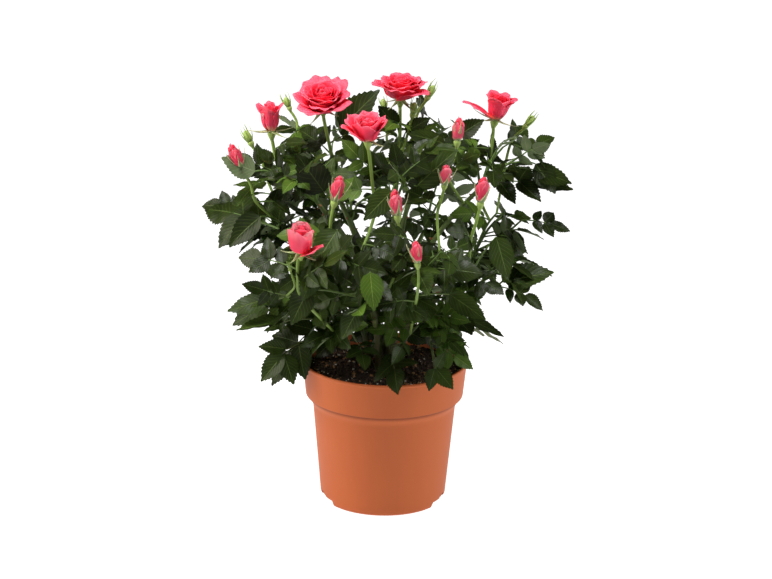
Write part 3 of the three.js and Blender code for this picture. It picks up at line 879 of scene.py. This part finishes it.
# large single leaves that stand out on the crown: foot, tip and the way each faces
showLeaves = {
    "betweenBlooms": ((-34, 12, 272), (-8, 8, 301), (-0.5, -1.0, 0.5), "leafDeep"),
    "veinedRight": ((20, -36, 244), (47, -34, 271), (-0.3, -1.0, 0.5), "leafMid"),
    "freshMiddle": ((-11, -94, 199), (-8, -103, 174), (0.1, -1.0, 0.5), "leafFresh"),
    "darkLeft": ((-44, -40, 240), (-62, -52, 268), (-0.3, -1.0, 0.6), "leafDeep"),
    "underLeft": ((-92, -40, 254), (-115, -46, 264), (-0.3, -0.9, 0.5), "leafUnder"),
    "lowRight": ((44, -62, 174), (70, -72, 160), (0.2, -0.8, 0.8), "leafMid"),
    "midLeft": ((-34, -72, 222), (-50, -84, 200), (-0.3, -1.0, 0.5), "leafMid"),
    "highRight": ((50, 0, 272), (66, -8, 286), (0.1, -1.0, 0.6), "leafDeep"),
    "acrossRight": ((40, -10, 268), (14, -16, 278), (0.0, -0.7, 0.9), "leafDeep"),
    "broadLeft": ((-88, -42, 222), (-112, -46, 203), (-0.4, -1.0, 0.5), "leafDeep"),
    "hangRight": ((76, -42, 210), (86, -46, 180), (0.3, -1.0, 0.4), "leafMid"),
    "farRightLow": ((84, -22, 171), (118, -24, 181), (0.1, -0.7, 0.9), "leafMid"),
    "farRightHigh": ((104, 0, 252), (120, -4, 232), (0.5, -1.0, 0.3), "leafDeep"),
    "tipRight": ((103, 2, 247), (131, 2, 239), (0.1, -0.6, 0.9), "leafDeep"),
    "longLeft": ((-84, -32, 159), (-112, -34, 150), (-0.2, -0.9, 0.8), "leafMid"),
    "edgeLeft": ((-72, -34, 143), (-106, -36, 138), (0.0, -0.04, 1.0), "leafMid"),
    "sprigEnd": ((-72, -32, 118), (-88, -34, 97), (-0.5, -1.0, 0.4), "leafMid"),
    "sprigFront": ((-72, -32, 118), (-64, -40, 98), (0.1, -1.0, 0.4), "leafMid"),
    "sprigBack": ((-70, -31, 121), (-90, -28, 124), (-0.2, -0.9, 0.8), "leafMid"),
    "overMiddle": ((3, -66, 249), (-16, -75, 230), (0.2, -1.0, 0.6), "leafMid"),
    "overStalk": ((-47, -92, 203), (-57, -99, 179), (0.2, -1.0, 0.4), "leafMid"),
    "belowCup": ((-53, -88, 184), (-65, -96, 161), (-0.2, -1.0, 0.4), "leafDeep"),
    "besideBloom": ((6, 22, 272), (-8, 18, 287), (-0.2, -1.0, 0.6), "leafDeep"),
    "behindBud": ((12, 20, 268), (29, 14, 281), (0.2, -1.0, 0.6), "leafDeep"),
    "rimBackLeft": ((-35, 15, 116), (-51, 12, 101), (-0.1, -1.0, 0.6), "leafDeep"),
    "rimBackFar": ((-6, 30, 119), (-26, 32, 106), (-0.1, -1.0, 0.6), "leafDeep"),
    "rimBackMiddle": ((8, 26, 118), (-12, 30, 105), (0.0, -1.0, 0.6), "leafDeep"),
    "rimBackRight": ((12, 26, 119), (34, 30, 106), (0.1, -1.0, 0.6), "leafMid"),
    "rimRight": ((28, 16, 121), (47, 20, 106), (0.2, -1.0, 0.6), "leafDeep"),
    "rimSprigUp": ((36, -52, 116), (42, -54, 128), (0.1, -1.0, 0.5), "leafMid"),
    "rimSprigLeft": ((35, -53, 116), (31, -60, 102), (-0.2, -1.0, 0.4), "leafMid"),
    "rimSprigEnd": ((36, -53, 116), (49, -60, 104), (0.3, -1.0, 0.5), "leafMid"),
}


def growShowLeaves():
    heap = Heap()
    for number, (foot, tip, face, skin) in enumerate(showLeaves.values()):
        foot, tip = Vector(foot) * mm, Vector(tip) * mm
        way = tip - foot
        start = min(shootSpots, key=lambda p: (p - foot).length + 2 * max(p.z - foot.z, 0))
        bend = start.lerp(foot, 0.6) + skyward * 1.5 * mm
        petioles.draw([start, bend, foot], [0.8 * mm, 0.65 * mm, 0.5 * mm], True)
        matrix = aimed(foot, way, Vector(face), way.length)
        heap.add(leaflets[(number * 2 + 1) % len(leaflets)], matrix, [skin, "leafUnder"])
    fit(makePiece("showLeaves", heap), masses)


growShowLeaves()


# petals: each stands on a profile that leaves the base at one angle and bends to two more
petalSizes = {"steps": 24, "knee": 0.55, "shoulder": 0.62, "foot": 0.26, "corner": 0.72, "thick": -0.28}


def petalForm(p):
    steps, knee, shoulder = petalSizes["steps"], petalSizes["knee"], petalSizes["shoulder"]
    profile = [(p["foot"], 0.0)]
    for k in range(steps):
        t = (k + 0.5) / steps
        if t < knee:
            angle = blend(p["lean"][0], p["lean"][1], eased(t / knee))
        else:
            angle = blend(p["lean"][1], p["lean"][2], eased((t - knee) / (1 - knee)))
        a = math.radians(angle)
        r, z = profile[-1]
        profile.append((r + math.sin(a) * p["length"] / steps, z + math.cos(a) * p["length"] / steps))

    def form(u, v):
        climb = u * (1 - p["round"] * v * v)
        where = climb * steps
        low = min(int(where), steps - 1)
        r = blend(profile[low][0], profile[low + 1][0], where - low)
        z = blend(profile[low][1], profile[low + 1][1], where - low)
        swell = blend(petalSizes["foot"], 1, math.sin(min(u / shoulder, 1) * math.pi / 2))
        if u > shoulder:
            inward = (u - shoulder) / (1 - shoulder) * petalSizes["corner"]
            swell *= math.sqrt(1 - inward ** 2)
        half = p["half"] * swell
        wrap = blend(p["wrap"] * 0.7, p["wrap"], u)
        angle = v * half / wrap
        out = r - wrap + wrap * math.cos(angle)
        aside = wrap * math.sin(angle)
        curl = p["curl"] * u ** 4 * (0.35 + 0.65 * v * v)
        out += curl
        z -= abs(curl) * 0.45 * (0.2 + v * v)
        ripple = p["ruffle"] * u ** 3 * math.sin(v * 5.1 + p["phase"])
        out += ripple
        z += p["ruffle"] * 0.7 * u ** 3 * math.cos(v * 7.3 + p["phase"] * 2)
        return Vector((out, aside, z)) * mm
    return form


# a bloom: petals in a spiral from the closed heart to the open guard petals
blooms = {
    "full_left": {
        "foot": (-46, -6, 291), "lean": 21, "towards": -92, "petals": 34, "twist": 20,
        "length": (12, 24.5), "half": (6.0, 13.5), "wrap": (3.4, 14),
        "leans": ((10, 86), (-14, 42), (0, 84)), "curl": (0.2, 2.0), "ruffle": 0.9,
        "sepals": (104, 15), "stalk": [(-45, -4, 280), (-41, -4, 262), (-37, -3, 243)],
    },
    "full_right": {
        "foot": (8, 26, 291), "lean": 5, "towards": -70, "petals": 30, "twist": 75,
        "length": (13, 23), "half": (6.0, 13.0), "wrap": (3.6, 15),
        "leans": ((8, 78), (-10, 46), (14, 96)), "curl": (0.2, 1.8), "ruffle": 0.9,
        "sepals": (120, 14), "stalk": [(8, 25, 280), (8, 24, 262), (6, 20, 240)],
    },
    "half_middle": {
        "foot": (-14, -58, 282), "lean": 8, "towards": -100, "petals": 19, "twist": 200,
        "length": (14, 21), "half": (5.6, 12), "wrap": (3.2, 11.5),
        "leans": ((8, 66), (-8, 18), (4, 44)), "curl": (0.1, 1.8), "ruffle": 1.1,
        "sepals": (88, 15), "stalk": [(-13, -57, 272), (-11, -54, 254), (-9, -46, 226)],
        "flare": {"turn": 190, "lean": (70, 40, 62), "length": 20, "half": 10},
    },
    "half_right": {
        "foot": (75, 10, 281), "lean": 11, "towards": 5, "petals": 14, "twist": 40,
        "length": (18, 21.5), "half": (5.2, 10), "wrap": (3.4, 7.5),
        "leans": ((10, 58), (-4, 12), (10, 60)), "curl": (0.4, 2.2), "ruffle": 0.5,
        "sepals": (96, 17), "stalk": [(74, 10, 271), (72, 9, 252), (66, 8, 226)],
        "flare": {"turn": 188, "lean": (70, 60, 88), "length": 25, "half": 10},
    },
    "tall_left": {
        "foot": (-82, -10, 275), "lean": 3, "towards": 190, "petals": 9, "twist": 130,
        "length": (19, 22), "half": (5.0, 8.4), "wrap": (3.2, 5.6),
        "leans": ((8, 54), (-2, -2), (8, 40)), "curl": (0.6, 2.0), "ruffle": 0.45,
        "sepals": (92, 17), "stalk": [(-81, -10, 266), (-79, -9, 255), (-75, -8, 240)],
    },
    "cup_front": {
        "foot": (-58, -96, 213), "lean": 14, "towards": -80, "petals": 11, "twist": 300,
        "length": (18, 24), "half": (5.0, 12), "wrap": (3.2, 8.5),
        "leans": ((10, 72), (-6, 6), (-22, -4)), "curl": (0.0, 1.2), "ruffle": 0.5,
        "flare": {"turn": 330, "lean": (84, 44, 40), "length": 18, "half": 9},
        "sepals": (112, 13), "stalk": [(-60, -95, 206), (-60, -92, 192), (-57, -84, 176)],
    },
}
stalks = Stems("flowerStalks", "stalk", 3)


# flower stalks run down to the nearest shoot and carry a few smaller leaves on the way
stalkSizes = {"width": 1.2, "leaf": 0.66, "fresh": 0.2}
stalkHeap = Heap()
stemSpots = shootSpots + [spot for line in limbs.values() for spot in line]


# a stalk joins the nearest stem that lies well below it
def footCost(spot, low):
    aside = (spot - low).to_2d().length
    missing = 10 * mm + 0.6 * aside - (low.z - spot.z)
    return (spot - low).length + 3 * max(missing, 0)


def growStalk(line, width, leaves, rng):
    low = line[-1]
    foot = min(stemSpots, key=lambda p: footCost(p, low))
    points, radii = smoothed(line + [foot], [width] * len(line) + [width * 0.85], 6)
    stalks.draw(points, radii)
    turn = rng.uniform(0, 360)
    for k in range(leaves):
        t = blend(0.34, 0.9, (k + rng.uniform(0.2, 0.8)) / leaves)
        spot = points[int(t * (len(points) - 1))]
        heading = polar(turn + spiral * k, rng.uniform(5, 45))
        outward = flat(spot)
        face = skyward * 0.8 + outward * 0.6 + toFront * 0.3
        size = stalkSizes["leaf"] * rng.uniform(0.75, 1.2) * (0.8 + 0.35 * t)
        skin = pickSkin(rng, stalkSizes["fresh"])
        growLeaf(stalkHeap, spot, heading, face, size, rng.choice((1, 1, 2)), skin, rng, 24)


def sepalTemplate(length, half, bend):
    def form(u, v):
        width = half * (1 - u) ** 0.9 * (0.6 + 0.4 * math.cos(u * 3)) + 0.12
        a = math.radians(bend) * u
        reach = length * (math.sin(a) / math.radians(bend))
        fall = length * ((1 - math.cos(a)) / math.radians(bend))
        return Vector((reach, width * v, 0.5 * width * v * v + fall)) * mm
    return sheet(7, 2, form, thick=0.25 * mm)


calyxOutline = [
    (0.05, -1.0), (0.42, -0.98), (0.62, -0.75), (0.95, -0.4), (1.0, -0.12), (0.8, 0.12), (0.05, 0.2),
]


def calyxTemplate(radius, height):
    bm = spun([(r * radius, z * height) for r, z in calyxOutline], 12)
    bmesh.ops.recalc_face_normals(bm, faces=bm.faces)
    return template(bm)


def leaning(foot, lean, towards):
    axis = polar(towards + 90)
    turn = Matrix.Rotation(math.radians(lean), 4, axis)
    return Matrix.Translation(Vector(foot) * mm) @ turn


def addSepals(heap, place, droop, length, rng):
    shape = sepalTemplate(length, 2.0, rng.uniform(10, 34))
    for k in range(5):
        rise = 90 - droop + rng.uniform(-14, 14)
        out = polar(72 * k + rng.uniform(-8, 8) + 20, rise)
        up = polar(72 * k + 20, rise + 90)
        heap.add(shape, place @ aimed(out * 1.6 * mm, out, up, rng.uniform(0.85, 1.1)), ["sepal"])


def addPetal(heap, place, petal, turn, skin, fine=(11, 10)):
    shape = sheet(*fine, petalForm(petal), thick=petalSizes["thick"] * mm)
    heap.add(shape, place @ Matrix.Rotation(math.radians(turn), 4, "Z"), [skin])


def makeBloom(key, b, number):
    rng = random.Random(number * 7 + 2)
    paces = (0.9, 1.1, 1.3)
    heap = Heap()
    place = leaning(b["foot"], b["lean"], b["towards"])
    count = b["petals"]
    for k in range(count):
        t = k / (count - 1)
        petal = {
            "foot": blend(0.3, 1.8, t),
            "length": blend(*b["length"], t ** 0.85) * rng.uniform(0.95, 1.05),
            "half": blend(*b["half"], t ** 0.7) * rng.uniform(0.92, 1.08),
            "wrap": blend(*b["wrap"], t ** 1.1),
            "lean": [blend(*lean, t ** pace) + rng.uniform(-5, 5) for lean, pace in zip(b["leans"], paces)],
            "curl": blend(*b["curl"], t) * rng.uniform(0.4, 1.5),
            "ruffle": b["ruffle"] * blend(0.35, 1.0, t) * rng.uniform(0.6, 1.4),
            "phase": rng.uniform(0, 6.3),
            "round": rng.uniform(0.10, 0.2),
        }
        skin = "petalHeart" if t < 0.55 else "petalGuard"
        addPetal(heap, place, petal, b["twist"] + spiral * k, skin)
    flare = b.get("flare")
    if flare:
        petal = {
            "foot": 1.8, "length": flare["length"], "half": flare["half"], "wrap": 13,
            "lean": flare["lean"], "curl": 1.2, "ruffle": 0.8, "phase": 1.0, "round": 0.25,
        }
        addPetal(heap, place, petal, flare["turn"], "petalGuard")
    heap.add(calyxTemplate(3.0, 6.5), place, ["calyx"])
    addSepals(heap, place, *b["sepals"], rng)
    fit(makePiece(camel("bloom_" + key), heap), ["flower_" + key])
    neck = place @ Vector((0, 0, -6 * mm))
    line = [neck] + [Vector(p) * mm for p in b["stalk"]]
    growStalk(line, stalkSizes["width"] * mm, 3, rng)


for number, (key, b) in enumerate(blooms.items()):
    makeBloom(key, b, number)
print("blooms made,", len(blooms))


# buds: showing colour or still shut in their sepals, each leaning its own way
budSizes = {
    "petals": 8, "length": 18, "half": 7.8, "shutRadius": 3.3, "shutHeight": 10.5,
    "sepal": (15, 1.9), "stalk": 1.1, "calyx": (2.7, 5.6),
}
# head, lean, which way it leans, size, stalk, and how far it is open, if at all
buds = [
    ((-102, -40, 257), 24, 200, 1.0, 26, 0.6),
    ((-36, -70, 242), 12, 10, 1.0, 36, 0.5),
    ((7, -75, 234), 8, 180, 1.0, 36, 0.5),
    ((39, -52, 250), 10, -60, 0.85, 26, 0.6),
    ((64, -60, 240), 6, 0, 1.0, 30, 0.5),
    ((21, -100, 208), 6, 180, 0.85, 26, 0.4),
    ((48, -20, 273), 4, 0, 0.95, 26, 0.0),
    ((-98, 10, 262), 26, 180, 0.85, 30, None),
    ((28, 40, 290), 26, 0, 0.85, 34, None),
    ((17, 20, 282), 8, 0, 0.8, 34, None),
    ((-3, 50, 278), 14, 170, 0.7, 30, None),
    ((4, -32, 263), 30, 0, 0.6, 28, None),
    ((98, 20, 275), 36, 0, 0.8, 30, None),
    ((-71, 18, 286), 22, 170, 0.7, 26, None),
    ((-66, -78, 196), 20, 120, 0.55, 16, None),
]


def makeBud(heap, bud, number):
    rng = random.Random(number + 900)
    head, lean, towards, size, stalk, opened = bud
    place = leaning(head, lean, towards) @ Matrix.Scale(size, 4)
    coloured = opened is not None
    if coloured:
        for k in range(budSizes["petals"]):
            t = k / (budSizes["petals"] - 1)
            petal = {
                "foot": 0.4, "length": budSizes["length"] * blend(1.0, 0.96, t) * rng.uniform(0.96, 1.04),
                "half": blend(4.2, budSizes["half"], t), "wrap": blend(2.4, 5.0, t),
                "lean": [blend(14, 58, t), blend(-4, -9, t), blend(-8, blend(-30, 6, opened), t)],
                "curl": blend(0, 0.9 * opened, t), "ruffle": 0.25,
                "phase": rng.uniform(0, 6.3), "round": 0.2,
            }
            skin = "petalHeart" if t < 0.6 else rng.choice(("petalGuard", "petalPale"))
            addPetal(heap, place, petal, 40 + spiral * k, skin, (8, 6))
        shut, hug = blend(20, 44, opened), blend(34, 8, opened)
    else:
        bm = bmesh.new()
        bmesh.ops.create_uvsphere(bm, u_segments=12, v_segments=8, radius=1)
        for vert in bm.verts:
            vert.co.x *= budSizes["shutRadius"] * mm
            vert.co.y *= budSizes["shutRadius"] * mm
            vert.co.z = (vert.co.z * 0.5 + 0.5) ** 1.15 * budSizes["shutHeight"] * mm
        heap.add(template(bm), place, ["calyx"])
        shut, hug = 26, 40
    heap.add(calyxTemplate(*budSizes["calyx"]), place, ["calyx"])
    shape = sepalTemplate(*budSizes["sepal"], hug)
    for k in range(5):
        turn = 72 * k + rng.uniform(-8, 8)
        rise = 90 - shut + rng.uniform(-8, 8)
        out, up = polar(turn, rise), polar(turn, rise + 90)
        matrix = place @ aimed(polar(turn) * 2.1 * mm, out, up, rng.uniform(0.85, 1.15))
        heap.add(shape, matrix, ["sepal" if coloured else "calyx"])
    neck = place @ Vector((0, 0, -5 * mm))
    down = place.to_3x3() @ -skyward
    outward = flat(Vector(head))
    stretch = stalk * 0.5 * mm
    middle = neck + (down * 0.75 - outward * 0.12) * stretch
    low = middle - (skyward + outward * 0.3) * stretch
    growStalk([neck, middle, low], budSizes["stalk"] * mm * size ** 0.5, 1, rng)


budHeap = Heap()
for number, bud in enumerate(buds):
    makeBud(budHeap, bud, number)
flowers = [n for n in nodes if n.startswith("flower")]
fit(makePiece("buds", budHeap), [n for n in nodes if n.startswith("foliage_top")])
fit(makePiece("thorns", thornHeap), limbNames)
fit(makePiece("stalkLeaves", stalkHeap), flowers)
fit(shoots.piece(), masses + sprays)
fit(petioles.piece(), masses + sprays)
fit(stalks.piece(), flowers)
print("buds, shoots, stalks and thorns made")


# the studio: pale floor, big soft lights at both sides and above, camera a little above
studio = {
    "target": (0, 0, 157), "distance": 1966, "elevation": 17.6, "roll": 0.94, "lens": 127.9,
    "world": 0.03, "floor": (150, 150, 150), "glow": 1.0, "glowFront": (-700, -100), "glowSide": (900, 320),
    "left": {"at": (-850, -120, 560), "size": (380, 700), "power": 7.6, "tint": (1.0, 0.95, 0.84)},
    "right": {"at": (900, -50, 420), "size": (380, 700), "power": 5},
    "above": {"at": (-250, -300, 1150), "size": (400, 350), "power": 13},
    "front": {"at": (-500, -1400, 900), "size": (350, 350), "power": 2.0},
}


def makeStudio():
    shade = Shade("studioFloor")
    grain = shade.noise(shade.place(), 0.004, 2.0)
    colour = shade.mix(grain * 0.05, tone(*studio["floor"]), tone(170, 170, 170))
    depth = shade.axis(shade.place(), "Y")
    aside = abs(shade.axis(shade.place(), "X")) - depth * 0.15
    lit = depth.step(*studio["glowFront"]) * aside.step(*studio["glowSide"])
    glow = shade.mix(lit, tone(186, 186, 186), (1, 1, 1, 1))
    bm = bmesh.new()
    bmesh.ops.create_grid(bm, x_segments=2, y_segments=2, size=6)
    bmesh.ops.translate(bm, verts=bm.verts, vec=(0, 0, -0.0005))
    mesh = bpy.data.meshes.new("floor")
    bm.to_mesh(mesh)
    bm.free()
    mesh.materials.append(shade.finish(
        Base_Color=colour, Roughness=0.9, Emission_Color=glow, Emission_Strength=studio["glow"],
    ))
    floor = linked("floor", mesh)
    world = bpy.data.worlds.new("softRoom")
    world.use_nodes = True
    world.node_tree.nodes["Background"].inputs["Color"].default_value = (1, 1, 1, 1)
    world.node_tree.nodes["Background"].inputs["Strength"].default_value = studio["world"]
    scene.world = world
    for name in ("left", "right", "above", "front"):
        s = studio[name]
        light = bpy.data.lights.new(name + "Softbox", "AREA")
        light.shape = "RECTANGLE"
        light.size, light.size_y = (d * mm for d in s["size"])
        light.energy = s["power"]
        light.color = s.get("tint", (1, 1, 1))
        lamp = linked(name + "Softbox", light)
        lamp.location = Vector(s["at"]) * mm
        away = lamp.location - Vector((0, 0, 0.17))
        lamp.rotation_euler = away.to_track_quat("Z", "Y").to_euler()
    camera = bpy.data.cameras.new("camera")
    camera.lens = studio["lens"]
    camera.clip_end = 20
    eye = linked("camera", camera)
    target = Vector(studio["target"]) * mm
    back = polar(-90, studio["elevation"])
    eye.rotation_mode = "QUATERNION"
    eye.location = target + back * studio["distance"] * mm
    roll = Matrix.Rotation(math.radians(studio["roll"]), 3, "Z").to_quaternion()
    eye.rotation_quaternion = back.to_track_quat("Z", "Y") @ roll
    scene.camera = eye
    scene.view_settings.view_transform = "Standard"


makeStudio()
print("studio set")
